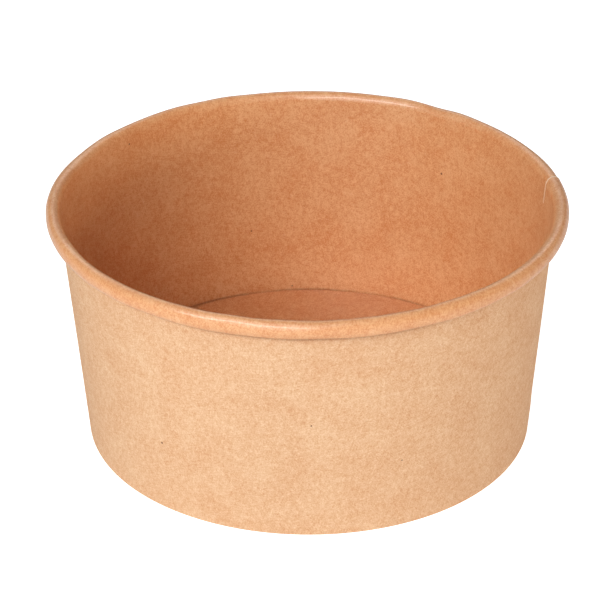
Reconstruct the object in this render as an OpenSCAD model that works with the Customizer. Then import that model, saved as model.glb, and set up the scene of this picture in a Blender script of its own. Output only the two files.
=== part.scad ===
// Round salad bowl of coated kraft board, in two glued pieces.
// A fan-shaped blank is wrapped to a cone and lap-sealed. Its top edge is rolled outwards into the rim,
// and its bottom edge is folded in and up, round the turned-down skirt of the bottom disc.
// Millimetres, +Z up. The origin is the centre of the foot ring, on the table.

/* [Bowl] */
// Outside diameter over the rolled rim
rim_d = 150; // [142:0.5:180]
// Overall height
bowl_h = 72.5; // [50:0.5:110]
// Outside diameter of the sidewall, continued down to the table
base_d = 131; // [90:0.5:138]
// Height of the floor's upper face above the table
floor_h = 6.8; // [4:0.1:15]

/* [Board] */
// Thickness of the coated board
board_t = 0.45; // [0.3:0.01:0.55]
// Film of sealant between two boards that lie on each other
seal_t = 0.05; // [0.02:0.01:0.1]

/* [Rolled rim] */
// Width of the roll, from the bowl's mouth to its outermost line
rim_w = 4.1; // [3.6:0.1:6]
// Height of the roll
rim_h = 5.2; // [4.4:0.1:7]
// Angle that the board turns through, from the wall to its rolled-in edge
rim_turn = 380; // [300:5:400]
// Space between the wall and the edge tucked behind it
tuck_gap = 0.1; // [0.05:0.01:0.2]

/* [Side seam] */
// Width over which the two ends of the blank lie on each other
lap_w = 9; // [4:0.5:20]
// Direction of the inner end's cut edge, from +X towards +Y
lap_at = 10; // [0:0.5:360]
// Thickness that pressing takes from the two boards of the lap
lap_squeeze = 0.1; // [0:0.01:0.15]
// Space between the inner end's bottom corner and the floor
lap_gap = 0.3; // [0.1:0.1:2]

/* [Foot] */
// Space between the turned-up edge of the sidewall and the underside of the floor
fold_gap = 0.6; // [0.2:0.1:1.5]
// Inside radius of the two creases of the foot
foot_crease = 0.02; // [0.01:0.01:0.05]
// Inside radius of the bend between the floor and the disc's skirt
disc_crease = 0.4; // [0.1:0.1:1]

/* [Smoothness] */
// Facets round the bowl
facets = 92; // [60:4:120]
// Chords in a full turn of the rolled rim
roll_chords = 16; // [12:4:24]
// Chords of one crease
crease_chords = 3; // [2:1:5]

/* [Hidden] */
$fn = facets;
board_colour = [0.89, 0.71, 0.54];
coated_colour = [0.76, 0.49, 0.32];

// The roll is an oval about roll_x and roll_z. Past its outermost point it winds in by tuck for each half turn.
tuck = board_t + tuck_gap;
roll_a = rim_w / 2 - board_t;
roll_b = (rim_h + tuck / 4) / 2 - board_t;
roll_x = (rim_d - rim_w) / 2;
roll_z = bowl_h - board_t - roll_b;

// The wall is the straight line from the foot that touches the roll's oval
reach = roll_x - base_d / 2;
rise = pow(roll_z, 2) - pow(roll_b, 2);
wall_slope = (reach * roll_z - sqrt(pow(reach * roll_z, 2) - rise * (pow(reach, 2) - pow(roll_a, 2)))) / rise;
wall_lean = norm([wall_slope, 1]);
roll_start = 180 - atan(wall_slope * roll_b / roll_a);
roll_end = roll_start - rim_turn;
roll_step = 360 / roll_chords;
roll_angles = concat([roll_start], [for (a = [180 - roll_step:-roll_step:roll_end + roll_step / 4]) a], [roll_end]);

// Depths inwards from the wall's kraft face, and heights, that the foot shares with the bottom disc
skirt_in = board_t + seal_t;
fold_in = skirt_in + board_t + seal_t + board_t;
fold_h = floor_h - board_t - fold_gap;

// The lap ends under the rim, and its angle comes from its width at the middle of the wall
lap_under = -100;
lap_turn = 360 * lap_w / (PI * (rim_d + base_d) / 2);

function unit(v) = v / norm(v);

// Point at height z, at a depth d inside the wall's kraft face
function wall_at(z, d = 0) = [base_d / 2 + wall_slope * z - d * wall_lean, z];

// Point of the roll's kraft face at an angle
function roll_at(angle) =
    let (inwards = tuck * pow(min(angle, 0) / 180, 2))
    [roll_x + (roll_a - inwards) * cos(angle), roll_z + (roll_b - inwards) * sin(angle)];

// Arc of radius r that rounds the corner b between a and c
function rounded(a, b, c, r) =
    let (
        u = unit(a - b),
        v = unit(c - b),
        half = acos(u * v) / 2,
        centre = b + unit(u + v) * r / sin(half),
        first = b + u * r / tan(half) - centre,
        last = b + v * r / tan(half) - centre,
        start = atan2(first.y, first.x),
        turn = atan2(last.y, last.x) - start,
        sweep = turn > 180 ? turn - 360 : turn < -180 ? turn + 360 : turn
    )
    [for (i = [0:crease_chords])
        let (angle = start + sweep * i / crease_chords)
        centre + r * [cos(angle), sin(angle)]];

// The line at a distance to the left of a path
function beside(path, distance) =
    [for (i = [0:len(path) - 1])
        let (along = unit(path[min(i + 1, len(path) - 1)] - path[max(i - 1, 0)]))
        path[i] + distance * [-along.y, along.x]];

// Section of a board between two distances to the left of a path
module board(path, near, far) {
    left = beside(path, far);
    polygon(concat(beside(path, near), [for (i = [len(left) - 1:-1:0]) left[i]]));
}

// Kraft face of the sidewall, from the turned-up edge, under the foot and up the wall, to the end of the roll
function sidewall_path() =
    let (
        edge = wall_at(fold_h, fold_in),
        inner = wall_at(0, fold_in),
        outer = wall_at(0),
        r = board_t + foot_crease
    )
    concat([edge], rounded(edge, inner, outer, r), rounded(inner, outer, roll_at(roll_start), r),
        [for (angle = roll_angles) roll_at(angle)]);

// Kraft face of the sidewall where the ends of the blank lap, from above the floor to under the rim
function lap_path() =
    concat([wall_at(floor_h + lap_gap)], [for (angle = roll_angles) if (angle > lap_under) roll_at(angle)]);

// Upper face of the bottom disc and outer face of its skirt
function disc_path() =
    let (centre = [0, floor_h], rim = wall_at(floor_h, skirt_in), edge = wall_at(skirt_in, skirt_in))
    concat([centre], rounded(centre, rim, edge, board_t + disc_crease), [edge]);

module sidewall() {
    color(board_colour) {
        rotate_extrude()
            board(sidewall_path(), 0, board_t);
        // The inner end of the blank, sealed to the board behind it
        rotate_extrude(start = lap_at - lap_turn, angle = lap_turn)
            board(lap_path(), board_t / 2, 2 * board_t - lap_squeeze);
    }
}

module bottom_disc() {
    color(coated_colour)
        rotate_extrude()
            board(disc_path(), -board_t, 0);
}

sidewall();
bottom_disc();
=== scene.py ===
# %% [markdown]
# # A kraft paper salad bowl
# The bowl is two pieces of coated kraft board: a fan-shaped blank that is wrapped to a cone, sealed along one
# lap and rolled outwards at the top, and a round disc whose edge is turned down and held in the folded foot.
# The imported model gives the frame: its sizes are read here, and each new piece stays inside its box.

# %% Load the frame
import math

import bmesh
import bpy
import numpy as np
from mathutils import Matrix, Vector


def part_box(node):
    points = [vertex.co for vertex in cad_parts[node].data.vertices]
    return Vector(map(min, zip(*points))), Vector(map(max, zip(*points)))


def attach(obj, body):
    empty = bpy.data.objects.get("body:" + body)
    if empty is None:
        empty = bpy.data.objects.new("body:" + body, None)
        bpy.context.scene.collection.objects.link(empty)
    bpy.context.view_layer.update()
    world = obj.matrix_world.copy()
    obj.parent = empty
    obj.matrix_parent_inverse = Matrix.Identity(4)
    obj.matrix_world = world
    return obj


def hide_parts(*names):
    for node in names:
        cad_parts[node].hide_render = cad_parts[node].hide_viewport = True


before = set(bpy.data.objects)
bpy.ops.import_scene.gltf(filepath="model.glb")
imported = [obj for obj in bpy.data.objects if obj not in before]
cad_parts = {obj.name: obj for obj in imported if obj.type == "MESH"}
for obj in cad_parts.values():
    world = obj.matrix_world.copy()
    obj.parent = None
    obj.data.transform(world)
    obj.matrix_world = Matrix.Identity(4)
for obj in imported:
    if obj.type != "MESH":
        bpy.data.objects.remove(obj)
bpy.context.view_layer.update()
print("frame:", sorted(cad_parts))

# %% [markdown]
# ## Sizes
# The wall and the roll are drawn from a few sizes, as the blank's maker would state them. The rim's radius,
# the height and the floor's height are measured on the frame's own pieces, so they can't drift from it.

# %% Read the sizes
MM = 0.001
BOARD = 0.45 * MM
FILM = 0.05 * MM
LAP_SQUEEZE = 0.1 * MM
LAP_ADDS = BOARD - LAP_SQUEEZE
ROLL_WIDTH, ROLL_HEIGHT = 4.1 * MM, 5.2 * MM
ROLL_TURN, TUCK_GAP = math.radians(380), 0.1 * MM
BASE_RADIUS = 65.5 * MM
FOLD_GAP, FOOT_CREASE, DISC_CREASE = 0.6 * MM, 0.02 * MM, 0.4 * MM
LAP_EDGE = math.radians(10)
LAP_WIDTH, LAP_GAP = 9 * MM, 0.3 * MM

wall_low, wall_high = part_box("sidewall")
RIM_RADIUS = -wall_low.x
HEIGHT = wall_high.z - LAP_ADDS
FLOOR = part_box("bottom_disc")[1].z
LAP_TURN = LAP_WIDTH / ((RIM_RADIUS + BASE_RADIUS) / 2)
print(f"rim {2000 * RIM_RADIUS:.2f} mm, height {1000 * HEIGHT:.2f} mm, floor {1000 * FLOOR:.2f} mm")

# %% [markdown]
# ## The section of the board
# Cut through its axis, the sidewall is one long strip: down from the turned-up edge, under the foot, up the
# straight wall and round the roll. It could be a Bezier curve with a bevel, but a computed line knows its own
# length and normals, which the board's thickness, its grain and the lap all need.

# %% Helpers for lines of points
def rounded(before, corner, after, radius, count=8):
    """An arc that touches both legs of a corner. Its centre lies on the bisector, at a distance of the radius
    divided by the sine of half the corner's angle."""
    u = (before - corner) / np.linalg.norm(before - corner)
    v = (after - corner) / np.linalg.norm(after - corner)
    half = math.acos(float(u @ v)) / 2
    bisector = (u + v) / np.linalg.norm(u + v)
    centre = corner + bisector * radius / math.sin(half)
    first = corner + u * radius / math.tan(half) - centre
    last = corner + v * radius / math.tan(half) - centre
    start = math.atan2(first[1], first[0])
    turn = (math.atan2(last[1], last[0]) - start + math.pi) % (2 * math.pi) - math.pi
    angle = start + turn * np.linspace(0, 1, count)
    return centre + radius * np.stack([np.cos(angle), np.sin(angle)], 1)


def straight(start, end, count):
    """Evenly spaced points strictly between two ends."""
    share = np.linspace(0, 1, count + 2)[1:-1, None]
    return start + (end - start) * share


def normals_left(line):
    """Unit normals to the left of a line of points, each from the chord between its two neighbours."""
    along = np.gradient(line, axis=0)
    along /= np.linalg.norm(along, axis=1, keepdims=True)
    return np.stack([-along[:, 1], along[:, 0]], 1)


# %% Fit the wall to the roll
TUCK = BOARD + TUCK_GAP
ROLL_A = ROLL_WIDTH / 2 - BOARD
ROLL_B = (ROLL_HEIGHT + TUCK / 4) / 2 - BOARD
ROLL_X, ROLL_Z = RIM_RADIUS - ROLL_WIDTH / 2, HEIGHT - BOARD - ROLL_B
# The roll is an oval about ROLL_X and ROLL_Z, and the wall is the line from the foot that touches it. Its
# slope is the smaller root of the quadratic equation that says line and oval meet in one point
reach, rise = ROLL_X - BASE_RADIUS, ROLL_Z ** 2 - ROLL_B ** 2
SLOPE = (reach * ROLL_Z - math.sqrt((reach * ROLL_Z) ** 2 - rise * (reach ** 2 - ROLL_A ** 2))) / rise
ROLL_START = math.pi - math.atan(SLOPE * ROLL_B / ROLL_A)


def wall_at(height, depth=0.0):
    """Point of the wall's section at a height, at a depth inside the kraft face."""
    return np.array([BASE_RADIUS + SLOPE * height - depth * math.hypot(SLOPE, 1), height])


def roll_at(angle):
    """Kraft face of the roll at angles of its oval. Past the outermost point, both half axes shrink by the
    tuck times the square of the share of a half turn."""
    inwards = TUCK * (np.minimum(angle, 0) / math.pi) ** 2
    across = ROLL_X + (ROLL_A - inwards) * np.cos(angle)
    return np.stack([across, ROLL_Z + (ROLL_B - inwards) * np.sin(angle)], -1)


print(f"wall leans {math.degrees(math.atan(SLOPE)):.2f} degrees")

# %% Draw the sidewall's line
ROLL_ROWS = 72
# Height of the painted shadow line under the roll
ROLL_SHADOW_HEIGHT = HEIGHT - 6.7 * MM
SKIRT_IN = BOARD + FILM
FOLD_IN = 2 * SKIRT_IN + BOARD
fold_edge = wall_at(FLOOR - BOARD - FOLD_GAP, FOLD_IN)
foot_inner, foot_outer = wall_at(0, FOLD_IN), wall_at(0)
roll_line = roll_at(ROLL_START - ROLL_TURN * np.linspace(0, 1, ROLL_ROWS))
inner_crease = rounded(fold_edge, foot_inner, foot_outer, BOARD + FOOT_CREASE)
outer_crease = rounded(foot_inner, foot_outer, roll_line[0], BOARD + FOOT_CREASE)
# Rows lie up to 2.7 mm apart on the wall, and 0.2 mm or less where the floor meets the wall, with its painted
# shade, and where the painted shadow under the roll lies
wall_heights = np.concatenate([
    np.linspace(1.5 * MM, FLOOR - 1.2 * MM, 3),
    np.linspace(FLOOR - 0.8 * MM, FLOOR + 0.4 * MM, 9),
    np.linspace(FLOOR + 1.5 * MM, ROLL_SHADOW_HEIGHT - 1.5 * MM, 22),
    np.linspace(ROLL_SHADOW_HEIGHT - 0.6 * MM, ROLL_SHADOW_HEIGHT + 0.6 * MM, 7),
    [HEIGHT - 4.5 * MM]])
side_line = np.concatenate([
    fold_edge[None], straight(fold_edge, inner_crease[0], 6), inner_crease, outer_crease,
    wall_at(wall_heights).T, roll_line])
side_normals = normals_left(side_line)
side_length = np.concatenate([[0], np.cumsum(np.linalg.norm(np.diff(side_line, axis=0), axis=1))])
all_rows = np.arange(len(side_line))
first_roll_row = len(side_line) - ROLL_ROWS
print(f"the blank is {1000 * side_length[-1]:.1f} mm from edge to edge, in {len(side_line)} rows")

# %% [markdown]
# ## What the press leaves
# No paper bowl is round to a tenth of a millimetre. This one's rim bulges a little on the left and at the
# back, and has a kink at the back right. Its foot stands slightly to the right, and the roll is fuller here
# and flatter there. Modelling that is worthwhile: a highlight that runs round a perfect ring looks like
# plastic. Every unevenness is a sum of a few smooth humps and waves of the angle, never noise per point.

# %% Humps and waves
def degrees_from(angle, place):
    """How far an angle in radians lies from a place in degrees, the short way round: -180 to 180."""
    return (np.degrees(angle) - place + 180) % 360 - 180


def hump(angle, place, width):
    """A smooth hump of height 1: exp(-(distance / width) squared), with place and width in degrees."""
    return np.exp(-(degrees_from(angle, place) / width) ** 2)


def humps(angle, marks):
    """A sum of humps in metres. Each mark is a height in millimetres, a place and a width in degrees."""
    return sum(height * hump(angle, place, width) for height, place, width in marks) * MM


def waves(angle, seed, first, last, amount):
    """A sum of whole waves round the circle, first to last in number, with seeded phases and heights that
    fall with the root of the number."""
    draw = np.random.default_rng(seed)
    number = np.arange(first, last + 1)
    height = draw.normal(size=len(number)) / np.sqrt(number / first)
    phase = draw.uniform(0, 2 * math.pi, len(number))
    total = (height * np.cos(angle[..., None] * number + phase)).sum(-1)
    return amount * total / math.sqrt((height ** 2).sum() / 2)


def ease(value):
    """Smooth step from 0 to 1: three times the square, less twice the cube."""
    value = np.clip(value, 0, 1)
    return value * value * (3 - 2 * value)


# %% Unevenness of wall and roll
RIM_BULGES = ((0.42, 178, 14), (0.1, 12, 14), (0.3, 67, 18), (0.22, 113, 18), (-0.2, 150, 14),
              (0.3, 64, 6), (-0.2, 54, 5))
RIM_DENTS = ((0.36, 65, 5), (-0.32, 56, 4))
ROLL_KINK = ((-0.32, 62, 4.5), (0.2, 53, 5))
ROLL_FLATS = ((0.08, -87, 9), (-0.08, -104, 5), (-0.08, -60, 10))
RIM_LEANS = 0.08 * MM


def sway(angle, height):
    """How far the wall stands out of round at a height, in metres. The foot's share goes over into the rim's
    with the power 1.5 of the height."""
    rim = (0.13 * np.cos(angle) - 0.26) * MM + humps(angle, RIM_BULGES)
    foot = (0.13 * np.cos(angle) + 0.42 * np.cos(angle + math.radians(15)) - 0.06) * MM
    share = np.clip(height / HEIGHT, 0, 1) ** 1.5
    return foot + (rim - foot) * share


def roll_unevenness(angle, turn):
    """How far the roll's surface lies inwards, in metres, by its place round the bowl and round its own oval:
    pressed alike on every side, tipped with the sine of the turn, flattened with the cosine of twice it."""
    pressed = waves(angle, 11, 9, 30, 0.03 * MM) + humps(angle, ROLL_KINK)
    tipped = waves(angle, 12, 8, 36, 0.035 * MM)
    flattened = waves(angle, 13, 10, 40, 0.03 * MM) + humps(angle, ROLL_FLATS)
    return pressed + tipped * np.sin(turn) + flattened * np.cos(2 * turn)


strays = sway(np.radians(np.arange(360)), HEIGHT) / MM
print(f"the rim lies {strays.min():.2f} to {strays.max():.2f} mm out of round")

# %% [markdown]
# ## A slab from two grids
# Both board pieces are the same thing: a front face and a back face, one board thickness apart, closed along
# their edges. Solidify could add the back, but it measures along averaged vertex normals and would pinch the
# creases of the foot. Here both faces are computed, and one function joins them.

# %% Helpers for a slab
SAME_POINT, SHARP = 1e-7, math.radians(50)


def slab_faces(rows, columns, wrap, pole):
    """Quads of the front, of the back and of the edge strips. Front points are numbered row by row, and each
    back point comes one whole grid after its front point."""
    index = np.arange(rows * columns).reshape(rows, columns)
    left = index if wrap else index[:, :-1]
    right = np.roll(index, -1, 1) if wrap else index[:, 1:]
    quads = np.stack([left[:-1], right[:-1], right[1:], left[1:]], -1)
    ends = [(left[-1], right[-1])] if pole else [(left[-1], right[-1]), (right[0], left[0])]
    if not wrap:
        ends += [(index[1:, -1], index[:-1, -1]), (index[:-1, 0], index[1:, 0])]
    near, far = (np.concatenate(side) for side in zip(*ends))
    strips = np.stack([near, far, far + index.size, near + index.size], -1)
    return quads, quads[..., ::-1] + index.size, strips


def map_board(mesh, faces, places, closing):
    """Lays the board's map, in metres on the flat sheet. Where a face crosses from the last column to the
    first, its far corners are moved one turn on."""
    corners = np.concatenate([places.reshape(-1, 2)] * 2)[faces]
    if closing:
        u = corners[..., 0]
        turn = np.ptp(places[..., 0])
        corners[..., 0] = np.where(u < u.max(1, keepdims=True) - turn / 2, u + turn, u)
    mesh.uv_layers.new(name="board").data.foreach_set("uv", corners.astype(np.float32).ravel())


def finish_shell(mesh, pole):
    """Merges the points of a pole, turns all faces outwards, and smooths all but the sharp edges."""
    shape = bmesh.new()
    shape.from_mesh(mesh)
    if pole:
        bmesh.ops.remove_doubles(shape, verts=shape.verts, dist=SAME_POINT)
    bmesh.ops.recalc_face_normals(shape, faces=shape.faces)
    shape.to_mesh(mesh)
    shape.free()
    mesh.shade_smooth()
    mesh.set_sharp_from_angle(angle=SHARP)


def turned(radius, height, angle):
    """Points at a radius and height, turned round the axis to an angle."""
    x, y = radius * np.cos(angle), radius * np.sin(angle)
    return np.stack([x, y, np.broadcast_to(height, angle.shape)], -1)


# %% Join two grids into a slab
def slab(name, front, back, wrap, slots, places, soaked=(0, 0), rolled=0, pole=False, cut=None):
    """One closed mesh from a front and a back grid of the same shape (rows, columns, 3). Columns close up on
    themselves if wrap, and with pole the first row is a single point. Slots number the materials of front,
    back and cut edges. The back of the closing column is a cut edge too and, with cut = (row, count), so are
    the front's last count columns from that row on. Painted_shade holds how far front and back are darkened
    by painted shade, and rolled how far the board is pressed smooth. Both become attributes that the finishes
    read."""
    grid = front.shape[:2]
    front_quads, back_quads, strips = slab_faces(*grid, wrap, pole)
    front_slots, back_slots = (np.full(front_quads.shape[:2], slot) for slot in slots[:2])
    if cut is not None:
        front_slots[cut[0]:, -cut[1]:] = slots[2]
    if wrap and not pole:
        back_slots[:, -1] = slots[2]
    faces = np.concatenate([front_quads.reshape(-1, 4), back_quads.reshape(-1, 4), strips])
    face_slots = np.concatenate([front_slots.ravel(), back_slots.ravel(), np.full(len(strips), slots[2])])
    mesh = bpy.data.meshes.new(name)
    mesh.from_pydata(np.concatenate([front.reshape(-1, 3), back.reshape(-1, 3)]), [], faces.tolist())
    mesh.polygons.foreach_set("material_index", face_slots.astype(np.int32))
    for mark, sides in (("soaked", soaked), ("rolled", (rolled, rolled))):
        values = np.concatenate([np.broadcast_to(side, grid).ravel() for side in sides])
        mesh.attributes.new(mark, "FLOAT", "POINT").data.foreach_set("value", values.astype(np.float32))
    map_board(mesh, faces, places, closing=wrap and not pole)
    finish_shell(mesh, pole)
    print(f"{name}: {len(mesh.vertices)} points, {len(mesh.polygons)} faces")
    return mesh


# %% [markdown]
# ## The sidewall
# The board starts at the lap's outer cut edge, goes once round and climbs a board's thickness inwards just
# before it gets back, so that its inner end can lie on its own start. That inner end is a second, narrow
# slab. Both are functions of the same two numbers, the angle and the row, which keeps them face to face.

# %% Faces of the sidewall
UNEVEN_OVER = 16
roll_turn = ROLL_START - ROLL_TURN * np.clip((all_rows - first_roll_row) / (ROLL_ROWS - 1), 0, 1)


def side_shape(angle, rows, depth):
    """The board at a depth inside its kraft face, for all rows and angles: the section's line is moved along
    its normal by the depth and the roll's unevenness, then outwards by the sway, and the rim is dented and
    leans forward."""
    line, normal = side_line[rows][:, None], side_normals[rows][:, None]
    begun = ease((rows - first_roll_row + UNEVEN_OVER / 2) / UNEVEN_OVER)[:, None]
    depth = depth + begun * roll_unevenness(angle, roll_turn[rows][:, None])
    radius = line[..., 0] + normal[..., 0] * depth + sway(angle, line[..., 1])
    height = line[..., 1] + normal[..., 1] * depth
    raised = RIM_LEANS * np.sin(angle) + humps(angle, RIM_DENTS)
    height = height + raised * ease(height / HEIGHT)
    return turned(radius, height, np.broadcast_to(angle, radius.shape))


def side_places(angle, rows):
    """Places on the flat sheet in metres: the way round, taken at the rim, and the way along the section."""
    return np.stack(np.broadcast_arrays(angle * RIM_RADIUS, side_length[rows][:, None]), -1)


def lap_pressed(rows):
    """1 where the lap has its full thickness, falling to 0 at the floor, where foot and disc press it flat.
    Rolling presses it to two thirds, and it ends where the roll winds under itself."""
    standing = ease((side_line[rows, 1] - FLOOR) / (8 * MM))
    beyond = side_length[rows] - side_length[first_roll_row]
    rolled = 1 - 0.33 * ease(beyond / (3 * MM))
    return (standing * rolled * ease((9.5 * MM - beyond) / (2 * MM)))[:, None]


# %% [markdown]
# Two lines on the sidewall are darker than the rest, and both are painted shade. One is the shade in the
# groove along the floor, thin and patchy, and the other is the shadow under the roll, on the bare side at the
# front. An image would need sharp pixels for lines this fine. Here each is a value per point, from height and
# angle, and the rows lie closer together there.

# %% Painted shade lines
def back_right(angle):
    """0 at the back right, where wall and floor meet most closely, rising to 1 for the rest of the circle."""
    return ease((np.abs(degrees_from(angle, 40)) - 45) / 40)


def groove_shade_strength(angle):
    """How dark the painted shade along the floor's edge is, 0 to 1: faintest at the back right, and patchy.
    """
    return np.clip(0.34 + 0.3 * back_right(angle) + waves(angle, 25, 6, 60, 0.12), 0, 1)


def line_round(height, width):
    """A soft line round the wall at a height, for each row: exp(-(distance / width) squared)."""
    return np.exp(-((side_line[:, 1:] - height) / width) ** 2)


# %% Shape the sidewall
COLUMNS = 340
CLIMB = math.radians(24)
EDGE_STEP = math.radians(0.03)
LAP_START = LAP_EDGE - LAP_TURN
SMOOTHED_OVER = 6
COATED_SLOT, BARE_SLOT, CUT_SLOT = 0, 1, 2

angle = LAP_START + np.linspace(0, 2 * math.pi - EDGE_STEP, COLUMNS)
climb = ease((angle - (LAP_START + 2 * math.pi - CLIMB)) / (CLIMB - EDGE_STEP)) * LAP_ADDS
lift = climb * lap_pressed(all_rows)
# Painted shade in the groove along the floor: patchy, and faintest at the back right
groove_shade = groove_shade_strength(angle) * line_round(FLOOR - 0.25 * MM, 0.32 * MM)
# Painted shadow under the roll, strongest at the front
roll_shadow = 0.4 * hump(angle, -88, 50) * line_round(ROLL_SHADOW_HEIGHT, 0.4 * MM)
food_side, kraft_side = side_shape(angle, all_rows, BOARD + lift), side_shape(angle, all_rows, lift)
side_mesh = slab("sidewall_board", food_side, kraft_side, True, (COATED_SLOT, BARE_SLOT, CUT_SLOT),
                 side_places(angle, all_rows), soaked=(groove_shade, roll_shadow),
                 rolled=ease((all_rows[:, None] - first_roll_row) / SMOOTHED_OVER))

# %% [markdown]
# The inner end shows its cut edge inside the bowl and over the roll. A cutting die leaves a fine burr of pale
# pulp there, which rolling has raised near the rim. That hair's breadth is all that the eye sees of the whole
# seam, so it gets two columns.

# %% Shape the lap's inner end
LAP_COLUMNS, BURR_COLUMNS = 16, 2
LAP_ON_ROLL = 9 * MM
BURR_WIDTH, BURR, SUNK = 0.45 * MM, 0.07 * MM, 0.02 * MM
BEHIND_EDGE, SUNK_OVER = math.radians(0.8), math.radians(1.0)
FRAYED_FROM, FRAYED_OVER = 0.8 * HEIGHT, 0.12 * HEIGHT

past_foot = all_rows > len(inner_crease) + len(outer_crease)
over_floor = side_line[:, 1] > FLOOR + LAP_GAP
lap_rows = all_rows[past_foot & over_floor & (side_length < side_length[first_roll_row] + LAP_ON_ROLL)]
burr_start = LAP_EDGE - BURR_WIDTH / RIM_RADIUS
lap_angle = np.concatenate([np.linspace(LAP_START - BEHIND_EDGE, burr_start, LAP_COLUMNS),
                            np.linspace(burr_start, LAP_EDGE, BURR_COLUMNS + 1)[1:]])
sinking = SUNK * (1 - ease((lap_angle - lap_angle[0]) / SUNK_OVER))
raised = BURR * np.clip((lap_angle - burr_start) / (LAP_EDGE - burr_start), 0, 1)
frayed = ease((side_line[lap_rows, 1] - FRAYED_FROM) / FRAYED_OVER)[:, None]
lap_depth = BOARD + (LAP_ADDS + raised * frayed) * lap_pressed(lap_rows) - sinking
lap_face, lap_back = (side_shape(lap_angle, lap_rows, depth) for depth in (lap_depth, BOARD / 2))
lap_mesh = slab("lap_end", lap_face, lap_back, False, (COATED_SLOT, COATED_SLOT, CUT_SLOT),
                side_places(lap_angle + 2 * math.pi, lap_rows),
                cut=(int(np.argmax(frayed > 0.5)), BURR_COLUMNS))

# %% [markdown]
# ## The bottom disc
# The disc's edge is drawn down to a skirt, with a small round bend. Seen from above, that bend leaves a fine
# dark groove along the wall, a little uneven, which is the first thing that tells a paper bowl from a moulded
# one. The disc is a profile turned round the axis, and its first row is a single point in the middle.

# %% Shape the bottom disc
FLOOR_ROWS, SAG = 34, 0.12 * MM


def disc_section():
    """Upper face of the floor from the centre outwards, the bend, and the outer face of the skirt."""
    rim, edge = wall_at(FLOOR, SKIRT_IN), wall_at(SKIRT_IN, SKIRT_IN)
    bend = rounded(np.array([0, FLOOR]), rim, edge, BOARD + DISC_CREASE)
    across = np.linspace(0, 1, FLOOR_ROWS)[:, None] ** 0.8 * (bend[0] - [0, FLOOR]) + [0, FLOOR]
    return np.concatenate([across, bend[1:], straight(bend[-1], edge, 4), edge[None]])


disc_line = disc_section()
disc_up = normals_left(disc_line)
disc_up[0] = [0, 1]
disc_angle = np.linspace(0, 2 * math.pi, COLUMNS, endpoint=False)
share = (disc_line[:, 0] / disc_line[:, 0].max())[:, None]
# The floor hangs a little in its middle, and its bend stands off the wall by the width of the groove
near_top = ease((disc_line[:, 1:] - FLOOR + 1.4 * MM) / (1.0 * MM))
dip = near_top * (-SAG * (1 - share ** 2) + share ** 2 * waves(disc_angle, 21, 3, 9, 0.04 * MM))
groove = (0.14 + 0.26 * back_right(disc_angle)) * MM + waves(disc_angle, 23, 7, 40, 0.05 * MM)
shift = share * sway(disc_angle, disc_line[:, 1:]) - share ** 6 * near_top * np.maximum(groove, 0)


def disc_shape(depth):
    """The disc at a depth under its upper face: the section moved along its normal, shifted and dipped."""
    section = disc_line - depth * disc_up
    return turned(section[:, :1] + shift, section[:, 1:] + dip, np.broadcast_to(disc_angle, shift.shape))


disc_places = np.stack([disc_line[:, :1] * np.cos(disc_angle), disc_line[:, :1] * np.sin(disc_angle)], -1)
# Painted shade on the disc's bend, where it meets the wall
bend_shade = groove_shade_strength(disc_angle) * ease((FLOOR - disc_line[:, 1:]) / (0.25 * MM))
disc_mesh = slab("bottom_disc_board", disc_shape(0), disc_shape(BOARD), True,
                 (COATED_SLOT, BARE_SLOT, CUT_SLOT), disc_places, soaked=(bend_shade, 0), pole=True)

# %% [markdown]
# ## Kraft, as shader groups
# Kraft board is unbleached pulp: long fibres lying every way, clouds where the sheet is denser, a few pale
# fibres that lie on top, and a few dark specks of bark. One node group makes these as values from a place on
# the board in metres, and a second one turns them into a colour. Each finish places both with its own values.
# Image textures would stretch and tile.

# %% Node helpers
def node(tree, kind, **inputs):
    """A node of a kind, with values or links set by input name, or by number as i0 and i1. A property is
    named with a leading underscore."""
    made = tree.nodes.new(kind)
    for name, value in inputs.items():
        if name.startswith("_"):
            setattr(made, name[1:], value)
            continue
        socket = made.inputs[int(name[1:]) if name[1:].isdigit() else name.replace("_", " ")]
        plug(tree, socket, value)
    return made


def plug(tree, socket, value):
    """Links a socket to another one's value, or sets it to a constant."""
    if isinstance(value, bpy.types.NodeSocket):
        tree.links.new(value, socket)
    else:
        socket.default_value = value


def math_node(tree, operation, a, b=0.0, clamp=False):
    """The result socket of a Math node on two values or links."""
    return node(tree, "ShaderNodeMath", _operation=operation, _use_clamp=clamp, i0=a, i1=b).outputs[0]


def remap(tree, value, low, high, to_low=0.0, to_high=1.0):
    """A value mapped from one range to another and clamped."""
    return node(tree, "ShaderNodeMapRange", Value=value, From_Min=low, From_Max=high, To_Min=to_low,
                To_Max=to_high).outputs["Result"]


def blend_colour(tree, kind, share, a, b):
    """The colour output of a Mix node; a and b are colours or links."""
    mix = node(tree, "ShaderNodeMix", _data_type="RGBA", _blend_type=kind, _clamp_factor=True)
    for socket, value in ((mix.inputs[0], share), (mix.inputs[6], a), (mix.inputs[7], b)):
        plug(tree, socket, value)
    return mix.outputs[2]


def rgb(red, green, blue):
    """A colour written in 0 to 255, as Blender's linear RGBA."""
    share = np.array([red, green, blue]) / 255
    linear = np.where(share <= 0.04045, share / 12.92, ((share + 0.055) / 1.055) ** 2.4)
    return (*linear.tolist(), 1.0)


def new_group(name, inputs, outputs):
    """An empty node group with named sockets, each given as a name and a kind, and its two end nodes."""
    tree = bpy.data.node_groups.new(name, "ShaderNodeTree")
    for way, sockets in (("INPUT", inputs), ("OUTPUT", outputs)):
        for socket, kind in sockets.items():
            tree.interface.new_socket(socket, in_out=way, socket_type="NodeSocket" + kind)
    return tree, tree.nodes.new("NodeGroupInput").outputs, tree.nodes.new("NodeGroupOutput").inputs


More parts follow.
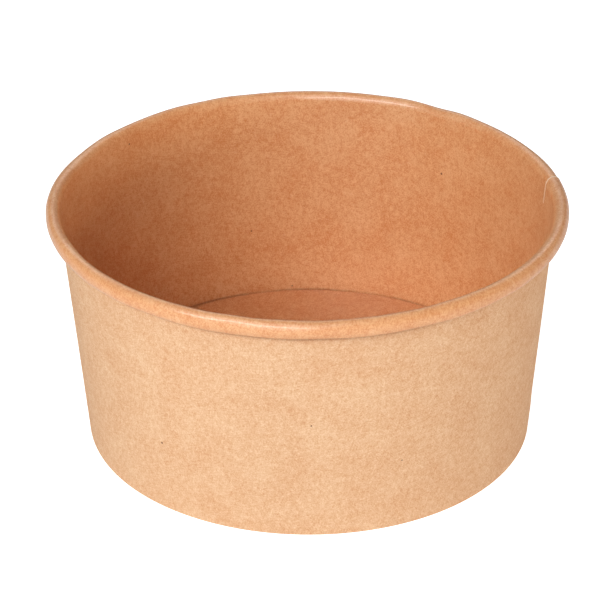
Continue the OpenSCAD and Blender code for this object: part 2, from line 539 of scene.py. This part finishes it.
# %% Fibres, clouds and specks
def noise(tree, place, scale, detail, roughness, distortion=0.0):
    """Value of a Noise texture at a place: around 0.5, and seldom outside 0.3 to 0.7."""
    return node(tree, "ShaderNodeTexNoise", Vector=place, Scale=scale, Detail=detail, Roughness=roughness,
                Distortion=distortion).outputs["Fac"]


def spread(tree, value, strength):
    """A value around 0.5 with its distance from 0.5 multiplied by a strength, without the 0.5."""
    return math_node(tree, "MULTIPLY", math_node(tree, "SUBTRACT", value, 0.5), strength)


def laid_fibres(tree, place):
    """Noise stretched to 2 mm long and 0.4 mm across, laid three ways and averaged."""
    total = None
    for turn, along, across in ((14, 2.1, 0.4), (73, 2.3, 0.45), (131, 1.9, 0.36)):
        laid = node(tree, "ShaderNodeMapping", _vector_type="TEXTURE", Vector=place,
                    Rotation=(0, 0, math.radians(turn)), Scale=(along * MM, across * MM, MM)).outputs[0]
        one = noise(tree, laid, 1.0, 1.0, 0.5, 0.8)
        total = one if total is None else math_node(tree, "ADD", total, one)
    return math_node(tree, "DIVIDE", total, 3.0)


def pale_strands(tree, place):
    """Thin curls where a noise crosses its middle, kept only in scattered spots."""
    curl = noise(tree, place, 520.0, 0.0, 0.5, 1.2)
    middle = math_node(tree, "ABSOLUTE", math_node(tree, "SUBTRACT", curl, 0.5))
    thin = remap(tree, middle, 0.0, 0.02, 1.0, 0.0)
    spot = remap(tree, noise(tree, place, 330.0, 1.0, 0.5), 0.56, 0.62)
    return math_node(tree, "MULTIPLY", thin, spot)


def bark_specks(tree, place, rarity):
    """Small discs in those few cells of a Voronoi texture whose random green is above the rarity."""
    cells = node(tree, "ShaderNodeTexVoronoi", Vector=place, Scale=200.0, Randomness=1.0)
    draw = node(tree, "ShaderNodeSeparateColor", Color=cells.outputs["Color"])
    size = remap(tree, draw.outputs[0], 0.0, 1.0, 0.02, 0.075)
    near = math_node(tree, "LESS_THAN", cells.outputs["Distance"], size)
    return math_node(tree, "MULTIPLY", near, math_node(tree, "GREATER_THAN", draw.outputs[1], rarity))


# %% Build the two kraft groups
def kraft_sheet():
    """Tone is 0.5 + strengths x (noises - 0.5), Strand and Speck are masks, and Height is for a bump."""
    tree, given, result = new_group(
        "kraft_sheet",
        {"Vector": "Vector", "Fibre Strength": "Float", "Cloud Strength": "Float", "Speck Rarity": "Float"},
        {"Tone": "Float", "Strand": "Float", "Speck": "Float", "Height": "Float"})
    place = given["Vector"]
    # Clouds of a few millimetres, patches of about one, and pulp finer than the eye can part
    cloud = noise(tree, place, 85.0, 3.0, 0.65)
    patch = noise(tree, place, 560.0, 2.0, 0.6)
    pulp = noise(tree, place, 2200.0, 2.0, 0.7)
    fibres = laid_fibres(tree, place)
    fine = math_node(tree, "ADD", spread(tree, fibres, 1.5), spread(tree, pulp, 1.2))
    fine = math_node(tree, "ADD", fine, spread(tree, patch, 0.5))
    fine = math_node(tree, "MULTIPLY", fine, given["Fibre Strength"])
    coarse = math_node(tree, "MULTIPLY", spread(tree, cloud, 1.0), given["Cloud Strength"])
    height = math_node(tree, "ADD", spread(tree, fibres, 1.0), spread(tree, pulp, 0.5))
    plug(tree, result["Tone"], math_node(tree, "ADD", math_node(tree, "ADD", fine, coarse), 0.5, clamp=True))
    plug(tree, result["Strand"], pale_strands(tree, place))
    plug(tree, result["Speck"], bark_specks(tree, place, given["Speck Rarity"]))
    plug(tree, result["Height"], math_node(tree, "ADD", height, 0.5))
    return tree


def kraft_colour():
    """Colour runs from Dark to Light with the tone, which rolling draws a fifth of the way to its middle.
    Strands screen it with a pale colour, specks multiply it by a dark one, and painted shade by another."""
    tree, given, result = new_group(
        "kraft_colour",
        {"Tone": "Float", "Strand": "Float", "Speck": "Float", "Rolled": "Float", "Soaked": "Float",
         "Dark": "Color", "Light": "Color"}, {"Colour": "Color"})
    drawn = math_node(tree, "MULTIPLY", given["Rolled"], 0.2)
    shift = math_node(tree, "MULTIPLY", math_node(tree, "SUBTRACT", 0.5, given["Tone"]), drawn)
    tone = math_node(tree, "ADD", given["Tone"], shift)
    strand = math_node(tree, "MULTIPLY", given["Strand"], 0.12)
    colour = blend_colour(tree, "MIX", tone, given["Dark"], given["Light"])
    colour = blend_colour(tree, "SCREEN", strand, colour, rgb(255, 232, 205))
    colour = blend_colour(tree, "MULTIPLY", given["Speck"], colour, rgb(140, 115, 100))
    # Painted shade: the groove along the floor and the shadow under the roll darken the colour
    colour = blend_colour(tree, "MULTIPLY", given["Soaked"], colour, rgb(178, 145, 124))
    plug(tree, result["Colour"], colour)
    return tree


sheet_group, colour_group = kraft_sheet(), kraft_colour()
for group in (sheet_group, colour_group):
    print(group.name, [socket.name for socket in group.interface.items_tree])

# %% [markdown]
# ## Four finishes
# Outside, the board is bare: matte and pale. The food side has a clear film, which deepens the colour as
# water does, and the disc's food side gets darker, browner copies of the same colours. The roll shows the
# food side, so it carries the film's soft highlight. A cut edge is pale pulp.

# %% Make the finishes
SPECK_RARITY = 0.9
BUMP_DEPTH = 0.1 * MM


def kraft_finish(name, dark, light, strengths, roughness, bump, film=0.0):
    """A Principled material on the two kraft groups. The film is a clear coat on a glossier board. Roughness
    falls by 0.1 from the sheet's darkest tone to its lightest."""
    made = bpy.data.materials.new(name)
    made.use_nodes = True
    tree = made.node_tree
    shader = tree.nodes["Principled BSDF"]
    place = node(tree, "ShaderNodeUVMap", _uv_map="board").outputs["UV"]
    sheet = node(tree, "ShaderNodeGroup", _node_tree=sheet_group, Vector=place, Fibre_Strength=strengths[0],
                 Cloud_Strength=strengths[1], Speck_Rarity=SPECK_RARITY).outputs
    # The painted shade along the floor and under the roll comes from a point attribute
    rolled, soaked = (node(tree, "ShaderNodeAttribute", _attribute_name=mark, _attribute_type="GEOMETRY")
                      .outputs["Fac"] for mark in ("rolled", "soaked"))
    colour = node(tree, "ShaderNodeGroup", _node_tree=colour_group, Tone=sheet["Tone"],
                  Strand=sheet["Strand"], Speck=sheet["Speck"], Rolled=rolled, Soaked=soaked, Dark=dark,
                  Light=light).outputs["Colour"]
    relief = node(tree, "ShaderNodeBump", Height=sheet["Height"], Strength=bump, Distance=BUMP_DEPTH)
    rough = remap(tree, sheet["Tone"], 0.0, 1.0, roughness + 0.05, roughness - 0.05)
    tree.links.new(colour, shader.inputs["Base Color"])
    tree.links.new(rough, shader.inputs["Roughness"])
    tree.links.new(relief.outputs["Normal"], shader.inputs["Normal"])
    shader.inputs["Specular IOR Level"].default_value = 0.8 if film else 0.25
    shader.inputs["Coat Weight"].default_value = film
    shader.inputs["Coat Roughness"].default_value = 0.2
    return made


COATED_LOOK = {"strengths": (2.1, 1.1), "roughness": 0.6, "bump": 0.05, "film": 0.8}
coated = kraft_finish("coated_kraft", rgb(214, 136, 76), rgb(236, 180, 128), **COATED_LOOK)
coated_disc = kraft_finish("coated_kraft_disc", rgb(201, 121, 65), rgb(223, 161, 111), **COATED_LOOK)
bare = kraft_finish("bare_kraft", rgb(208, 152, 109), rgb(233, 198, 160), (1.5, 0.75), 0.85, 0.05)
cut = kraft_finish("cut_board_edge", rgb(234, 202, 168), rgb(251, 228, 200), (1.6, 0.8), 0.9, 0.2)
print("finishes:", coated.name, coated_disc.name, bare.name, cut.name)

# %% [markdown]
# ## Two pieces for two nodes
# The lap's inner end is part of the same blank as the wall, so both slabs go into one mesh. Each piece rides
# on the frame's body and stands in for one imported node.

# %% Put the pieces in the frame
def piece(name, mesh, finishes, node_name):
    """A finished object at the origin, riding on the frame in place of a node."""
    made = bpy.data.objects.new(name, mesh)
    bpy.context.scene.collection.objects.link(made)
    for finish in finishes:
        mesh.materials.append(finish)
    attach(made, "root")
    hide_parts(node_name)
    return made


both = bmesh.new()
both.from_mesh(side_mesh)
both.from_mesh(lap_mesh)
both.to_mesh(side_mesh)
both.free()
sidewall = piece("sidewall_paper", side_mesh, (coated, bare, cut), "sidewall")
bottom = piece("bottom_disc_paper", disc_mesh, (coated_disc, bare, cut), "bottom_disc")
print("pieces:", sidewall.name, bottom.name)

# %% [markdown]
# ## Camera
# The lens is long, so the bowl's circles are nearly pure ellipses. The camera looks down at 29 degrees from a
# little under 0.8 m, and its small pan, tilt and roll put the bowl where the photograph has it in the frame.

# %% Place the camera
LENS, SENSOR = 160.5, 36.0
LOOK_DOWN, DISTANCE, TARGET = math.radians(29.108), 0.7858, Vector((0.13 * MM, 0, 0.035))
PAN, TILT, ROLL = math.radians(-0.161), math.radians(0.2375), math.radians(-0.056)


def twist(one, other, angle):
    """Two axes at right angles, turned in their own plane by an angle, the first towards the second."""
    return one * math.cos(angle) + other * math.sin(angle), other * math.cos(angle) - one * math.sin(angle)


def aimed_camera():
    """Axes from the look-down angle, then turned by tilt, pan and roll in that order."""
    away = Vector((0, -math.cos(LOOK_DOWN), math.sin(LOOK_DOWN)))
    forward, right = -away, Vector((1, 0, 0))
    up = right.cross(forward)
    forward, up = twist(forward, up, TILT)
    forward, right = twist(forward, right, PAN)
    right, up = twist(right, up, ROLL)
    place = Matrix((right, up, -forward)).transposed().to_4x4()
    place.translation = TARGET + away * DISTANCE
    data = bpy.data.cameras.new("camera")
    data.lens, data.sensor_width = LENS, SENSOR
    made = bpy.data.objects.new("camera", data)
    made.matrix_world = place
    bpy.context.scene.collection.objects.link(made)
    return made


camera = aimed_camera()
bpy.context.scene.camera = camera
print("camera at", [round(x, 3) for x in camera.location])

# %% [markdown]
# ## Floor
# Product photographs like this one are taken on a sheet of lit white paper. Most of the light on the bowl's
# outside comes up from that sheet, and almost none of it gets inside, which is why the inside looks so much
# darker. So the floor glows by itself. A lamp below a translucent sheet would do the same, but with noise.

# %% Lay the floor
HALF_FLOOR = 3.0
FLOOR_GLOW, FLOOR_MIRRORED = 0.52, 0.35


def floor_finish():
    """White paper lit from below: it glows, less in reflections, and still takes light and shadow from
    above."""
    made = bpy.data.materials.new("white_floor")
    made.use_nodes = True
    tree = made.node_tree
    shader = tree.nodes["Principled BSDF"]
    shader.inputs["Base Color"].default_value = (0.5, 0.5, 0.5, 1)
    shader.inputs["Roughness"].default_value = 0.95
    shader.inputs["Specular IOR Level"].default_value = 0.0
    shader.inputs["Emission Color"].default_value = (1, 1, 1, 1)
    rays = node(tree, "ShaderNodeLightPath")
    glow = remap(tree, rays.outputs["Is Glossy Ray"], 0.0, 1.0, FLOOR_GLOW, FLOOR_MIRRORED)
    glow = math_node(tree, "MAXIMUM", glow, rays.outputs["Is Camera Ray"])
    tree.links.new(glow, shader.inputs["Emission Strength"])
    return made


floor_mesh = bpy.data.meshes.new("floor")
corners = [(x * HALF_FLOOR, y * HALF_FLOOR, 0) for x, y in ((-1, -1), (1, -1), (1, 1), (-1, 1))]
floor_mesh.from_pydata(corners, [], [(0, 1, 2, 3)])
floor_mesh.materials.append(floor_finish())
floor = bpy.data.objects.new("floor", floor_mesh)
bpy.context.scene.collection.objects.link(floor)
print("floor:", floor.name)

# %% [markdown]
# ## Light
# A broad light at the front left does the modelling, and a second one above it reaches the inside. A low one
# in front opens the shadow under the roll, and one behind gives the roll its sheen at the back. At the right
# stands a small warm light that no reflection shows, since the photograph is warmer there.

# %% Light the bowl
BOWL_MIDDLE = Vector((0, 0, 0.04))
ROOM_MIRRORED = 0.15


def soft_light(name, around, above, width, height, power, away=1.5):
    """An area light that faces the bowl, placed by its direction: degrees around from +X, and above."""
    around, above = math.radians(around), math.radians(above)
    level = math.cos(above)
    way = Vector((level * math.cos(around), level * math.sin(around), math.sin(above)))
    data = bpy.data.lights.new(name, "AREA")
    data.shape, data.size, data.size_y, data.energy = "RECTANGLE", width, height, power
    made = bpy.data.objects.new(name, data)
    made.location = BOWL_MIDDLE + way * away
    made.rotation_euler = way.to_track_quat("Z", "Y").to_euler()
    bpy.context.scene.collection.objects.link(made)
    return made


soft_light("key", -117, 33, 1.4, 0.45, 16.8)
soft_light("above_key", -116, 61, 1.4, 0.55, 5.0)
soft_light("front_low", -105, 11, 0.9, 0.35, 2.8)
soft_light("back", 90, 42, 2.2, 0.7, 6.8)
right_low = soft_light("right_low", -12, 6, 0.5, 0.25, 7.2)
right_low.data.color = (1.0, 0.88, 0.78)
right_low.visible_glossy = False


def white_room():
    """White where the camera sees it, dim in reflections, and dark for the soft light that the lamps give."""
    world = bpy.data.worlds.new("room")
    world.use_nodes = True
    tree = world.node_tree
    rays = node(tree, "ShaderNodeLightPath")
    dim = math_node(tree, "MULTIPLY", rays.outputs["Is Glossy Ray"], ROOM_MIRRORED)
    seen = math_node(tree, "MAXIMUM", rays.outputs["Is Camera Ray"], dim)
    tree.nodes["Background"].inputs["Color"].default_value = (1, 1, 1, 1)
    tree.links.new(seen, tree.nodes["Background"].inputs["Strength"])
    return world


bpy.context.scene.world = white_room()
bpy.context.scene.view_settings.view_transform = "Standard"
